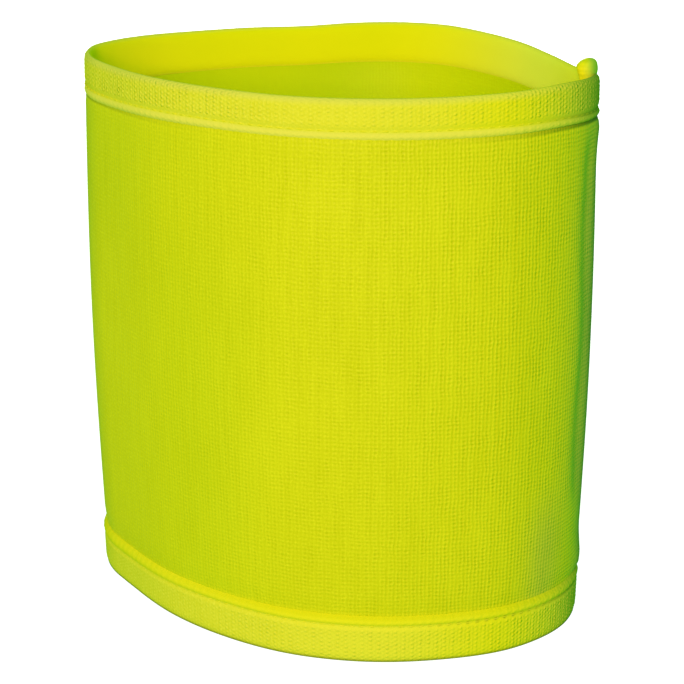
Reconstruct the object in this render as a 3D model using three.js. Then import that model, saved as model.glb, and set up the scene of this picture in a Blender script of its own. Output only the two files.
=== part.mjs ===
// A knitted elastic armband: a tube of bright yellow-green cloth that stands upright on its lower hem.
// Millimetres, +Z up. The origin is on the floor under the middle of the tube.
// Seen from above, the tube is an oval, widest along X, with a soft corner at its side seam on the +X side.

import * as THREE from 'three';

// Overall size
const HEIGHT = 150;

// Cloth
const CLOTH = 1.2;
const HEM_PLY = 0.9;
const CLEARANCE = 0.3;

// Steps around the tube, closer together beside the side seam
const STEPS_AROUND = 96;
const CROWDING_AT_SEAM = 0.6;

// The tube seen from above, one row per station, anticlockwise from the side seam.
// x: along the widest way across. y: from front to back. rimRise: how far the soft rim stands above HEIGHT.
const OUTLINE = [
  { x: 67.8, y: -11.7, rimRise: -0.1 },
  { x: 66.2, y: -7.0, rimRise: -0.7 },
  { x: 62.1, y: 1.2, rimRise: -1.1 },
  { x: 54.2, y: 16.1, rimRise: -0.7 },
  { x: 45.1, y: 30.4, rimRise: -0.3 },
  { x: 33.8, y: 42.2, rimRise: 0.1 },
  { x: 21.1, y: 50.3, rimRise: 0.6 },
  { x: 7.4, y: 54.1, rimRise: 0.4 },
  { x: -6.7, y: 52.6, rimRise: 0.0 },
  { x: -20.0, y: 47.5, rimRise: -0.6 },
  { x: -33.4, y: 40.2, rimRise: -0.3 },
  { x: -46.8, y: 30.8, rimRise: -0.2 },
  { x: -58.1, y: 19.7, rimRise: 0.1 },
  { x: -65.1, y: 7.8, rimRise: 0.4 },
  { x: -68.0, y: -3.1, rimRise: 0.4 },
  { x: -64.4, y: -14.4, rimRise: 0.1 },
  { x: -54.3, y: -25.8, rimRise: -0.2 },
  { x: -39.2, y: -38.8, rimRise: -0.1 },
  { x: -21.0, y: -48.2, rimRise: -0.1 },
  { x: -1.3, y: -53.6, rimRise: -0.2 },
  { x: 19.2, y: -53.4, rimRise: -0.1 },
  { x: 37.7, y: -48.2, rimRise: 0.1 },
  { x: 52.2, y: -40.6, rimRise: 0.5 },
  { x: 61.9, y: -30.6, rimRise: 0.9 },
  { x: 66.6, y: -21.4, rimRise: 0.5 },
];

// Turned hems. Each depth is measured along the wall from the hem's own edge.
const TOP_HEM = { groove: 7.8, lipEnd: 10.1, insideEnd: 11.0, land: 0 };
const BOTTOM_HEM = { groove: 11.2, lipEnd: 14.8, insideEnd: 14.8, land: 1.6 };
const LIP_PROUD = 0.45;
const INSIDE_LIP_PROUD = 0.3;
const GROOVE_DEPTH = 0.35;
const GROOVE_REACH = 0.6;

// The rim's rise dies away down the wall with this power of the height
const RISE_POWER = 3;

// The bottom hem's lip climbs a little beside the side seam
const SEAM_CLIMB = 0.13;
const SEAM_CLIMB_REACH = 16;

// The body swells between the hems, quickly at first and then gently
const SWELL_AT_HEMS = 1.0;
const SWELL_RUN = 9;
const SWELL_AT_MIDDLE = 0.9;

// Shallow upright fold in the body, on the front side of the side seam
const FOLD_DISTANCE = 5.5;
const FOLD_WIDTH = 2.6;
const FOLD_DEPTH = 0.9;
const FOLD_RUN = 12;

// Side seam: a flat rib inside the corner, with a rounded end that stands over the rim.
// height: above the floor. inner and outer: reach from the middle of the wall. half: half thickness.
const SEAM_SECTIONS = [
  { height: 1.0, inner: -4.6, outer: -3.0, half: 0.8 },
  { height: 1.8, inner: -5.0, outer: -2.7, half: 1.3 },
  { height: 17.2, inner: -5.0, outer: -2.7, half: 1.3 },
  { height: 20.6, inner: -4.6, outer: -1.4, half: 1.0 },
  { height: 75.0, inner: -4.6, outer: -1.2, half: 1.0 },
  { height: 134.5, inner: -4.6, outer: -1.4, half: 1.0 },
  { height: 138.0, inner: -5.0, outer: -2.7, half: 1.3 },
  { height: 147.6, inner: -5.0, outer: -2.6, half: 1.5 },
  { height: 149.4, inner: -4.7, outer: -2.2, half: 1.7 },
  { height: 150.2, inner: -4.4, outer: -1.2, half: 1.8 },
  { height: 150.5, inner: -4.2, outer: 0.7, half: 1.8 },
  { height: 151.4, inner: -4.0, outer: 1.2, half: 1.9 },
  { height: 152.8, inner: -3.9, outer: 1.1, half: 1.9 },
  { height: 153.8, inner: -3.5, outer: 0.6, half: 1.7 },
  { height: 154.4, inner: -2.7, outer: -0.2, half: 1.1 },
];
const SEAM_BASE = 0.8;
const SEAM_TIP = 154.7;
const SEAM_SIDES = 12;

// Half thicknesses from the middle of the wall, and the sleeve's ends inside the hems
const HEM_HALF = CLOTH / 2 + CLEARANCE + HEM_PLY;
const CHANNEL_HALF = CLOTH / 2 + CLEARANCE;
const SLEEVE_BOTTOM = HEM_PLY + CLEARANCE;
const SLEEVE_TOP = HEIGHT - HEM_PLY - CLEARANCE;
const BODY_BOTTOM = BOTTOM_HEM.lipEnd * (1 + SEAM_CLIMB);
const BODY_TOP = HEIGHT - TOP_HEM.lipEnd;

// Heights of the sleeve's rows, closest together where the body swells out beside the hems
const SLEEVE_HEIGHTS = [SLEEVE_BOTTOM, BODY_BOTTOM, 20, 26, 48, 75, 102, 128, 135, BODY_TOP, SLEEVE_TOP];

// The third coordinate of this closed curve is the rise of the rim.
const outline = new THREE.CatmullRomCurve3(
  OUTLINE.map((row) => new THREE.Vector3(row.x, row.y, row.rimRise)),
  true,
  'centripetal',
);
const PERIMETER = outline.getLength();

// Share of the way around for one step; the steps are shortest at the side seam.
function shareAround(step) {
  const share = (step % STEPS_AROUND) / STEPS_AROUND;
  return share - (CROWDING_AT_SEAM * Math.sin(2 * Math.PI * share)) / (2 * Math.PI);
}

// Distance along the wall from the side seam, positive towards the back and negative towards the front.
function distanceFromSeam(share) {
  return (share > 0.5 ? share - 1 : share) * PERIMETER;
}

// A place beside the middle of the wall: share of the way around, millimetres outward and along, and height.
function placeOnWall(share, out, sideways, height) {
  const place = outline.getPointAt(share);
  const along = outline.getTangentAt(share).setZ(0).normalize();
  const outward = new THREE.Vector3(along.y, -along.x, 0);
  const rise = place.z * (height / HEIGHT) ** RISE_POWER;
  place.setZ(height + rise);
  return place.addScaledVector(outward, out).addScaledVector(along, sideways);
}

// How far the body stands out from the hems' middle surface.
function bodySwell(share, height) {
  const fromHem = Math.min(height - BODY_BOTTOM, BODY_TOP - height);
  if (fromHem <= 0) {
    return 0;
  }
  const middle = Math.sin((Math.PI * (height - BODY_BOTTOM)) / (BODY_TOP - BODY_BOTTOM));
  const swell = SWELL_AT_HEMS * THREE.MathUtils.smoothstep(fromHem, 0, SWELL_RUN) + SWELL_AT_MIDDLE * middle;
  const fromFold = (distanceFromSeam(share) + FOLD_DISTANCE) / FOLD_WIDTH;
  const fold = FOLD_DEPTH * Math.exp(-fromFold * fromFold) * THREE.MathUtils.smoothstep(fromHem, 0, FOLD_RUN);
  return swell - fold;
}

// Lip climb of the bottom hem, as a factor on height.
function seamClimb(share) {
  const nearSeam = distanceFromSeam(share) / SEAM_CLIMB_REACH;
  return 1 + SEAM_CLIMB * Math.exp(-nearSeam * nearSeam);
}

const staysOnWall = () => 0;
const staysLevel = () => 1;

// A closed section is turned into a round ring, and the ring is then laid along the tube's outline.
// section: points with x outward from the middle of the wall and y as height, in a closed loop.
function ringAlongOutline(section, extraOutward, heightFactor) {
  const loop = [...section, section[0]];
  const turned = loop.map((p) => new THREE.Vector2(PERIMETER / (2 * Math.PI) + p.x, p.y));
  const ring = new THREE.LatheGeometry(turned, STEPS_AROUND);
  const position = ring.getAttribute('position');
  for (let step = 0; step <= STEPS_AROUND; step += 1) {
    const share = shareAround(step);
    for (let row = 0; row < loop.length; row += 1) {
      const height = loop[row].y * heightFactor(share);
      const place = placeOnWall(share, loop[row].x + extraOutward(share, height), 0, height);
      position.setXYZ(step * loop.length + row, place.x, place.y, place.z);
    }
  }
  ring.computeVertexNormals();
  return ring;
}

// Hem section: over the lip, round the edge, along the inside, and back by the channel that holds the cloth.
// Each point is (outward from the middle of the wall, depth from the hem's edge).
function hemSection(hem) {
  const lipStart = hem.groove + GROOVE_REACH;
  const insideStart = hem.insideEnd - (hem.lipEnd - lipStart);
  const lipMiddle = (lipStart + hem.lipEnd) / 2;
  const insideMiddle = (insideStart + hem.insideEnd) / 2;
  const halfLand = hem.land / 2;
  const shoulder = HEM_HALF - HEM_PLY / 2;
  return [
    [CHANNEL_HALF, hem.lipEnd],
    [HEM_HALF, hem.lipEnd],
    [HEM_HALF + LIP_PROUD, lipMiddle],
    [HEM_HALF, lipStart],
    [HEM_HALF - GROOVE_DEPTH, hem.groove],
    [HEM_HALF, hem.groove - GROOVE_REACH],
    [HEM_HALF, HEM_HALF],
    [shoulder, HEM_PLY / 2],
    [halfLand, 0],
    [-halfLand, 0],
    [-shoulder, HEM_PLY / 2],
    [-HEM_HALF, HEM_HALF],
    [-HEM_HALF, insideStart],
    [-HEM_HALF - INSIDE_LIP_PROUD, insideMiddle],
    [-HEM_HALF, hem.insideEnd],
    [-CHANNEL_HALF, hem.insideEnd],
    [-CHANNEL_HALF, HEM_PLY],
    [CHANNEL_HALF, HEM_PLY],
  ];
}

function topHemGeometry() {
  const section = hemSection(TOP_HEM).map(([out, depth]) => new THREE.Vector2(out, HEIGHT - depth));
  const withoutDoubles = section.filter((point, index) => index === 0 || !point.equals(section[index - 1]));
  return ringAlongOutline(withoutDoubles, staysOnWall, staysLevel);
}

function bottomHemGeometry() {
  const section = hemSection(BOTTOM_HEM).map(([out, depth]) => new THREE.Vector2(out, depth));
  return ringAlongOutline(section.reverse(), staysOnWall, seamClimb);
}

function sleeveGeometry() {
  const outside = SLEEVE_HEIGHTS.map((height) => new THREE.Vector2(CLOTH / 2, height));
  const inside = SLEEVE_HEIGHTS.map((height) => new THREE.Vector2(-CLOTH / 2, height)).reverse();
  return ringAlongOutline([...outside, ...inside], bodySwell, staysLevel);
}

// The seam rib is a turned bar of unit radius, pressed flat and moved to each section of the table.
// The wall's own start, at share zero, is the side seam.
function sideSeamGeometry() {
  const first = SEAM_SECTIONS[0];
  const last = SEAM_SECTIONS[SEAM_SECTIONS.length - 1];
  const rows = [{ ...first, height: SEAM_BASE }, ...SEAM_SECTIONS, { ...last, height: SEAM_TIP }];
  const profile = rows.map((row, index) => {
    const onAxis = index === 0 || index === rows.length - 1;
    return new THREE.Vector2(onAxis ? 0 : 1, row.height);
  });
  const bar = new THREE.LatheGeometry(profile, SEAM_SIDES);
  const position = bar.getAttribute('position');
  for (let index = 0; index < position.count; index += 1) {
    const row = rows[index % rows.length];
    const middle = (row.outer + row.inner) / 2;
    const reach = (row.outer - row.inner) / 2;
    const out = middle + reach * position.getX(index);
    const place = placeOnWall(0, out, -row.half * position.getZ(index), row.height);
    position.setXYZ(index, place.x, place.y, place.z);
  }
  bar.computeVertexNormals();
  return bar;
}

const bodyCloth = new THREE.MeshStandardMaterial({ color: 0xd8dc18, roughness: 0.85, metalness: 0 });
const hemCloth = new THREE.MeshStandardMaterial({ color: 0xe6e232, roughness: 0.85, metalness: 0 });
const seamCloth = new THREE.MeshStandardMaterial({ color: 0xd2e01c, roughness: 0.8, metalness: 0 });

function piece(name, geometry, material) {
  const mesh = new THREE.Mesh(geometry, material);
  mesh.name = name;
  return mesh;
}

const armband = new THREE.Group();
armband.add(
  piece('sleeve', sleeveGeometry(), bodyCloth),
  piece('top_hem', topHemGeometry(), hemCloth),
  piece('bottom_hem', bottomHemGeometry(), hemCloth),
  piece('side_seam', sideSeamGeometry(), seamCloth),
);

export default armband;
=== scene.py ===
# A knitted elastic armband that stands on its lower hem, dressed over its solid parts. Metres, +Z up.

import math
import bpy
import numpy as np
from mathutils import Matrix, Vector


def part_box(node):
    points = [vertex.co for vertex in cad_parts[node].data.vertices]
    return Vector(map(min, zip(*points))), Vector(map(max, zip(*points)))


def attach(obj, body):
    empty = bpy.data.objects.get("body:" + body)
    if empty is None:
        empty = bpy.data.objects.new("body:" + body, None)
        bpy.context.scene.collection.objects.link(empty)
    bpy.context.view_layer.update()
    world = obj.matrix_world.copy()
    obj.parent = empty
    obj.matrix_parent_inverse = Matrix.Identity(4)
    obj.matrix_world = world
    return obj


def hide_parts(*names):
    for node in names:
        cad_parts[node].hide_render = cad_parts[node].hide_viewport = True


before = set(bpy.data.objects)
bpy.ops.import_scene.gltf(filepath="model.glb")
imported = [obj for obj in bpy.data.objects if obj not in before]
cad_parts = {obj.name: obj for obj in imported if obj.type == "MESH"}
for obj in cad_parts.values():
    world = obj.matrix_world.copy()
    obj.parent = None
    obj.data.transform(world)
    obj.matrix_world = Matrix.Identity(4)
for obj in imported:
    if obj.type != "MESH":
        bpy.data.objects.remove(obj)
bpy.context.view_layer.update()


# Sleeve
# One strip of fine elastic knit in fluorescent yellow yarn, 1.2 mm thick, sewn into a tube at the side seam.
# Both raw edges end inside the turned hems, and between the hems the cloth swells out a little.

MM = 0.001
RIM_HEIGHT = 150 * MM
HEM_FOLD = 1.2 * MM
SLEEVE_FOOT = HEM_FOLD
SLEEVE_HEAD = RIM_HEIGHT - HEM_FOLD
BODY_FOOT = 14.6 * MM
BODY_HEAD = RIM_HEIGHT - 10.1 * MM
RISE_POWER = 3

# The cloth is pressed thin inside the hems, and between them it swells out to its full thickness.
FACE_SHIFT = 0.45 * MM
PRESSED_HALF = 0.25 * MM
PRESSED_REACH = 2.4 * MM
PRESSED_RUN = 2.5 * MM
SWELL_AT_HEMS = 0.3 * MM
SWELL_RUN = 3 * MM
SWELL_AT_MIDDLE = 1.1 * MM

# It is fuller in the corner at the seam, near both hems, and under the rim's hem at the front.
CORNER_SWELL = 0.8 * MM
CORNER_WIDTH = 7 * MM
CORNER_RUN = 2.5 * MM
CORNER_REACH = 8 * MM
FOOT_CORNER_SWELL = 1.0 * MM
FOOT_CORNER_PLACE = -1 * MM
FOOT_CORNER_START = 12.2 * MM
FOOT_CORNER_RUN = 1.4 * MM
FOOT_CORNER_TOP = 14 * MM
FOOT_CORNER_FADE = 13 * MM
FRONT_HEAD_SWELL = 0.25 * MM
FRONT_HEAD_RUN = 6 * MM
FRONT_WIDTH = 55 * MM

# A shallow upright fold wanders beside the seam, and the seam itself lies in a narrow groove.
FOLD_PLACE = -8.65 * MM
FOLD_WANDER = 0.7 * MM
FOLD_WAVE = 51 * MM
FOLD_CREST = 84 * MM
FOLD_FOOT = 32 * MM
FOLD_WIDTH = 3.2 * MM
FOLD_DEPTH = 1.0 * MM
FOLD_RUN = 12 * MM
SEAM_GROOVE_HALF = 0.9 * MM
SEAM_GROOVE_DEPTH = 0.5 * MM

WALL_STEPS_BETWEEN = 12
SLEEVE_STEPS_AROUND = 440
SLEEVE_ROW_STEP = 1.7 * MM
ROWS_IN_FOOT_HEM = 6
ROWS_IN_TOP_HEM = 4

WALE_PITCH = 1.0 * MM
COURSE_PITCH = 1.14 * MM

# The middle of the wall comes from the solid sleeve: along its top edge, the corners stand in pairs,
# one on each face of the cloth. That edge rises and falls by less than TOP_EDGE_WAVE.
TOP_EDGE_WAVE = 4 * MM
sleeve_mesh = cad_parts["sleeve"].data
sleeve_corners = np.unique(np.round([tuple(v.co) for v in sleeve_mesh.vertices], 6), axis=0)
top_edge = sleeve_corners[sleeve_corners[:, 2] > sleeve_corners[:, 2].max() - TOP_EDGE_WAVE]
spans = np.linalg.norm(top_edge[:, None, :2] - top_edge[None, :, :2], axis=2)
np.fill_diagonal(spans, 1.0)
CLOTH = float(spans.min())
stations = np.unique(np.round((top_edge + top_edge[spans.argmin(axis=1)]) / 2, 6), axis=0)
stations = stations[np.argsort(np.arctan2(stations[:, 1], stations[:, 0]))]
seam_low, seam_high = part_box("side_seam")
seam_middle = np.array((seam_low + seam_high) / 2)
from_seam = np.linalg.norm(stations[:, :2] - seam_middle[:2], axis=1)
stations = np.roll(stations, -int(from_seam.argmin()), axis=0)


def smooth_loop(points, steps):
    """A closed smooth line through the points, with this many steps between each two."""
    last, after, later = np.roll(points, 1, 0), np.roll(points, -1, 0), np.roll(points, -2, 0)
    t = (np.arange(steps) / steps)[None, :, None]
    p0, p1, p2, p3 = (p[:, None, :] for p in (last, points, after, later))
    line = p1 + 0.5 * t * (p2 - p0 + t * (2 * p0 - 5 * p1 + 4 * p2 - p3 + t * (3 * (p1 - p2) + p3 - p0)))
    return line.reshape(-1, points.shape[1])


wall = smooth_loop(stations, WALL_STEPS_BETWEEN)
wall = np.vstack([wall, wall[:1]])
wall_run = np.concatenate([[0], np.cumsum(np.linalg.norm(np.diff(wall[:, :2], axis=0), axis=1))])
GIRTH = float(wall_run[-1])
wall_tangent = np.roll(wall[:-1, :2], -1, axis=0) - np.roll(wall[:-1, :2], 1, axis=0)
wall_tangent = np.vstack([wall_tangent, wall_tangent[:1]])
wall_tangent /= np.linalg.norm(wall_tangent, axis=1)[:, None]


def read_wall(distance, values):
    """One of the wall line's values, at these distances from the side seam."""
    return np.interp(np.mod(distance, GIRTH), wall_run, values)


def lay_on_wall(distance, out, height):
    """Points at distances along the wall from the side seam, so far outward from it, at these heights."""
    distance, out, height = np.broadcast_arrays(distance, out, height)
    along_x = read_wall(distance, wall_tangent[:, 0])
    along_y = read_wall(distance, wall_tangent[:, 1])
    x = read_wall(distance, wall[:, 0]) + along_y * out
    y = read_wall(distance, wall[:, 1]) - along_x * out
    rise = (read_wall(distance, wall[:, 2]) - SLEEVE_HEAD) * (height / SLEEVE_HEAD) ** RISE_POWER
    return np.stack([x, y, height + rise], axis=-1)


LEFT_FOLD = float(wall_run[wall[:, 0].argmin()])
BACK_MIDDLE = float(wall_run[wall[:, 1].argmax()])
FRONT_MIDDLE = float(wall_run[wall[:, 1].argmin()])


def past_seam(distance):
    """Signed distance from the side seam: positive towards the back, negative towards the front."""
    return np.mod(distance + GIRTH / 2, GIRTH) - GIRTH / 2


def hump(value, width):
    """1 where the value is 0, falling away on both sides over this width."""
    return np.exp(-((value / width) ** 2))


def bulge_at(distance, place, width):
    """1 at the place along the wall, falling away on both sides over this width."""
    return hump(past_seam(distance - place), width)


# The painted shade beside the seam falls away this quickly behind it.
SHADE_BEHIND_SEAM = 3.2 * MM


def painted_shade_at_seam(distance, width):
    """1 at the side seam, falling away over this width in front of it, and quickly behind it."""
    behind = past_seam(distance) > 0
    return bulge_at(distance, 0, np.where(behind, SHADE_BEHIND_SEAM, width))


def ease(value, start=0.0, run=1.0):
    """A soft step: 0 up to the start, and 1 from one run past it."""
    value = np.clip((value - start) / run, 0, 1)
    return value * value * (3 - 2 * value)


def body_swell(distance, height):
    """How far the middle of the cloth stands out from the middle of the solid wall."""
    from_hem = np.minimum(height - BODY_FOOT, BODY_HEAD - height)
    up = np.clip((height - BODY_FOOT) / (BODY_HEAD - BODY_FOOT), 0, 1)
    swell = SWELL_AT_HEMS * ease(from_hem, run=SWELL_RUN) + SWELL_AT_MIDDLE * np.sin(np.pi * up)
    fold_place = FOLD_PLACE + FOLD_WANDER * np.cos(2 * np.pi * (height - FOLD_CREST) / FOLD_WAVE)
    fold = FOLD_DEPTH * hump(past_seam(distance) - fold_place, FOLD_WIDTH)
    from_head = BODY_HEAD - height
    corner = CORNER_SWELL * bulge_at(distance, 0, CORNER_WIDTH) * hump(from_head, CORNER_REACH)
    at_foot = ease(height, start=FOOT_CORNER_START, run=FOOT_CORNER_RUN)
    at_foot = at_foot * (1 - ease(height, start=FOOT_CORNER_TOP, run=FOOT_CORNER_FADE))
    at_foot = FOOT_CORNER_SWELL * bulge_at(distance, FOOT_CORNER_PLACE, CORNER_WIDTH) * at_foot
    at_head = 1 - ease(from_head, run=FRONT_HEAD_RUN)
    at_head = FRONT_HEAD_SWELL * bulge_at(distance, FRONT_MIDDLE, FRONT_WIDTH) * at_head
    groove = SEAM_GROOVE_DEPTH * hump(past_seam(distance), SEAM_GROOVE_HALF)
    fold = fold * ease(from_hem, run=FOLD_RUN) * ease(height, start=FOLD_FOOT, run=FOLD_RUN)
    pressed = fold + groove * ease(from_hem, run=CORNER_RUN)
    return FACE_SHIFT + swell - pressed + corner * ease(from_head, run=CORNER_RUN) + at_foot + at_head


def smooth_piece(name, mesh, finish):
    """A piece with this mesh and finish, smooth across its faces."""
    mesh.shade_smooth()
    mesh.materials.append(finish)
    piece = bpy.data.objects.new(name, mesh)
    bpy.context.scene.collection.objects.link(piece)
    return piece


def cloth_ring(name, distance, places, running, finish):
    """A closed ring of cloth. places holds a loop of points for each distance along the wall.
    running is each row's length along the loop, which the knit of the finish follows upward."""
    steps, rows = places.shape[:2]
    step, row = np.meshgrid(np.arange(steps), np.arange(rows), indexing="ij")
    next_step, next_row = (step + 1) % steps, (row + 1) % rows
    corners = [(step, row), (next_step, row), (next_step, next_row), (step, next_row)]
    faces = np.stack([s * rows + r for s, r in corners], axis=-1).reshape(-1, 4)
    reach = np.concatenate([distance, [distance[0] + GIRTH]])
    run = np.concatenate([running, [running[0]]])
    uv_corners = [(step, row), (step + 1, row), (step + 1, row + 1), (step, row + 1)]
    uv = np.stack([np.stack([reach[s], run[r]], axis=-1) for s, r in uv_corners], axis=-2).reshape(-1, 2)
    mesh = bpy.data.meshes.new(name)
    mesh.vertices.add(steps * rows)
    mesh.vertices.foreach_set("co", places.reshape(-1))
    mesh.loops.add(len(faces) * 4)
    mesh.loops.foreach_set("vertex_index", faces.reshape(-1))
    mesh.polygons.add(len(faces))
    mesh.polygons.foreach_set("loop_start", np.arange(len(faces)) * 4)
    mesh.uv_layers.new(name="knit").uv.foreach_set("vector", uv.reshape(-1))
    mesh.update(calc_edges=True)
    mesh.validate()
    piece = smooth_piece(name, mesh, finish)
    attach(piece, "root")
    return piece


def keep_tone(piece, tone, values):
    """Keeps one number for each point of the ring, for the finish to read."""
    kept = piece.data.attributes.new(tone, "FLOAT", "POINT")
    kept.data.foreach_set("value", np.ascontiguousarray(values, dtype=float).reshape(-1))


def read_tone(tree, tone):
    """A kept number as a socket of the finish."""
    kept = tree.nodes.new("ShaderNodeAttribute")
    kept.attribute_name = tone
    return kept.outputs["Fac"]


def figure(tree, operation, *values):
    """One sum in a finish: the operation on these numbers or sockets."""
    node = tree.nodes.new("ShaderNodeMath")
    node.operation = operation
    for socket, value in zip(node.inputs, values):
        if isinstance(value, bpy.types.NodeSocket):
            tree.links.new(value, socket)
        else:
            socket.default_value = value
    return node.outputs[0]


def graded(tree, share, start, end):
    """A strength that goes from the start, at share 0, to the end, at share 1."""
    return figure(tree, "MULTIPLY_ADD", share, end - start, start)


def mottle(tree, place, size, stretch_up=1.0, detail=2.0):
    """Soft random variation from 0 to 1, in blotches of this size in metres, longer upward by stretch_up."""
    scaled = tree.nodes.new("ShaderNodeVectorMath")
    scaled.operation = "MULTIPLY"
    scaled.inputs[1].default_value = (1 / size, 1 / (size * stretch_up), 1 / size)
    noise = tree.nodes.new("ShaderNodeTexNoise")
    noise.inputs["Scale"].default_value = 1.0
    noise.inputs["Detail"].default_value = detail
    tree.links.new(place, scaled.inputs[0])
    tree.links.new(scaled.outputs[0], noise.inputs["Vector"])
    return noise.outputs["Fac"]


def blend_colours(tree, share, low, high):
    """From the low colour at share 0 to the high one at share 1. Each may be a colour or a socket."""
    node = tree.nodes.new("ShaderNodeMix")
    node.data_type = "RGBA"
    tree.links.new(share, node.inputs[0])
    for socket, value in ((node.inputs[6], low), (node.inputs[7], high)):
        if isinstance(value, bpy.types.NodeSocket):
            tree.links.new(value, socket)
        else:
            socket.default_value = (*value, 1)
    return node.outputs[2]


def new_finish(name, roughness, gloss):
    """An empty cloth finish: its tree, its shader, and the place on the cloth along and up."""
    finish = bpy.data.materials.new(name)
    finish.use_nodes = True
    tree = finish.node_tree
    shader = tree.nodes["Principled BSDF"]
    shader.inputs["Roughness"].default_value = roughness
    shader.inputs["Specular IOR Level"].default_value = gloss
    place = tree.nodes.new("ShaderNodeUVMap")
    place.uv_map = "knit"
    parts = tree.nodes.new("ShaderNodeSeparateXYZ")
    tree.links.new(place.outputs[0], parts.inputs[0])
    return finish, tree, shader, place.outputs[0], parts.outputs["X"], parts.outputs["Y"]


def tint_where_kept(tree, colour, tints):
    """The colour, turned towards each tint as far as the tone of the same name says."""
    for tone, tint in tints.items():
        colour = blend_colours(tree, read_tone(tree, tone), colour, tint)
    return colour


def around_tube(tree, along):
    """1 at the side seam, 0 a quarter of the way round, and -1 opposite the seam."""
    return figure(tree, "COSINE", figure(tree, "MULTIPLY", along, 2 * math.pi / GIRTH))


def close_to_seam(tree, around):
    """1 at the side seam, and next to nothing from about 40 mm away."""
    return figure(tree, "POWER", figure(tree, "MAXIMUM", around, 0.0), 16.0)


def raise_relief(tree, shader, relief, depth):
    """Fine relief in the finish alone, as deep as this in metres where the relief is 1."""
    bump = tree.nodes.new("ShaderNodeBump")
    bump.inputs["Strength"].default_value = 1.0
    bump.inputs["Distance"].default_value = depth
    tree.links.new(relief, bump.inputs["Height"])
    tree.links.new(bump.outputs[0], shader.inputs["Normal"])


# Sizes of the uneven places in the body's knit, from its specks up to its clouds, and how far its wales
# and courses wander.
BODY_SPECK = 0.5 * MM
BODY_YARN = 0.8 * MM
BODY_STREAK = 1.6 * MM
BODY_PATCH = 4 * MM
BODY_WANDER = 5 * MM
BODY_CLOUD = 22 * MM
WALE_WANDER = 1.0 * MM
COURSE_WANDER = 1.2 * MM
LOOP_RELIEF = 0.06 * MM

# The knit's colour lies between the dark and the light one, on the whole at BODY_MIDDLE, and its loops,
# streaks and clouds move it from there.
BODY_MIDDLE = 0.46
LOOP_CONTRAST = 0.28
STREAK_CONTRAST = 0.7
CLOUD_CONTRAST = 0.5
# The dark loop colour is partly the knit's own and partly painted shade between the loops.
BODY_DARK_LOOP = (0.72, 0.62, 0.001)
BODY_LIGHT_LOOP = (0.92, 0.77, 0.008)
# The inside face is greener and darker: painted shade, as the inside of the tube gets less light.
BODY_SHADED_INSIDE = (0.66, 0.715, 0.001)
# Painted shade under the rim's lip.
BODY_PAINTED_LIP_SHADE = (0.12, 0.17, 0.004)
BODY_TINTS = {
    # Painted shade in the corner beside the seam.
    "corner": (0.365, 0.42, 0.07),
    # Painted shade in a thin line along the seam.
    "painted_seam_shade": (0.13, 0.18, 0.02),
    # Painted shade in places on the wall.
    "painted_wall_shade": (0.45, 0.62, 0.001),
}
LIP_SHADE_START = BODY_HEAD - 1.5 * MM
LIP_SHADE_RUN = 0.5 * MM


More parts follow.
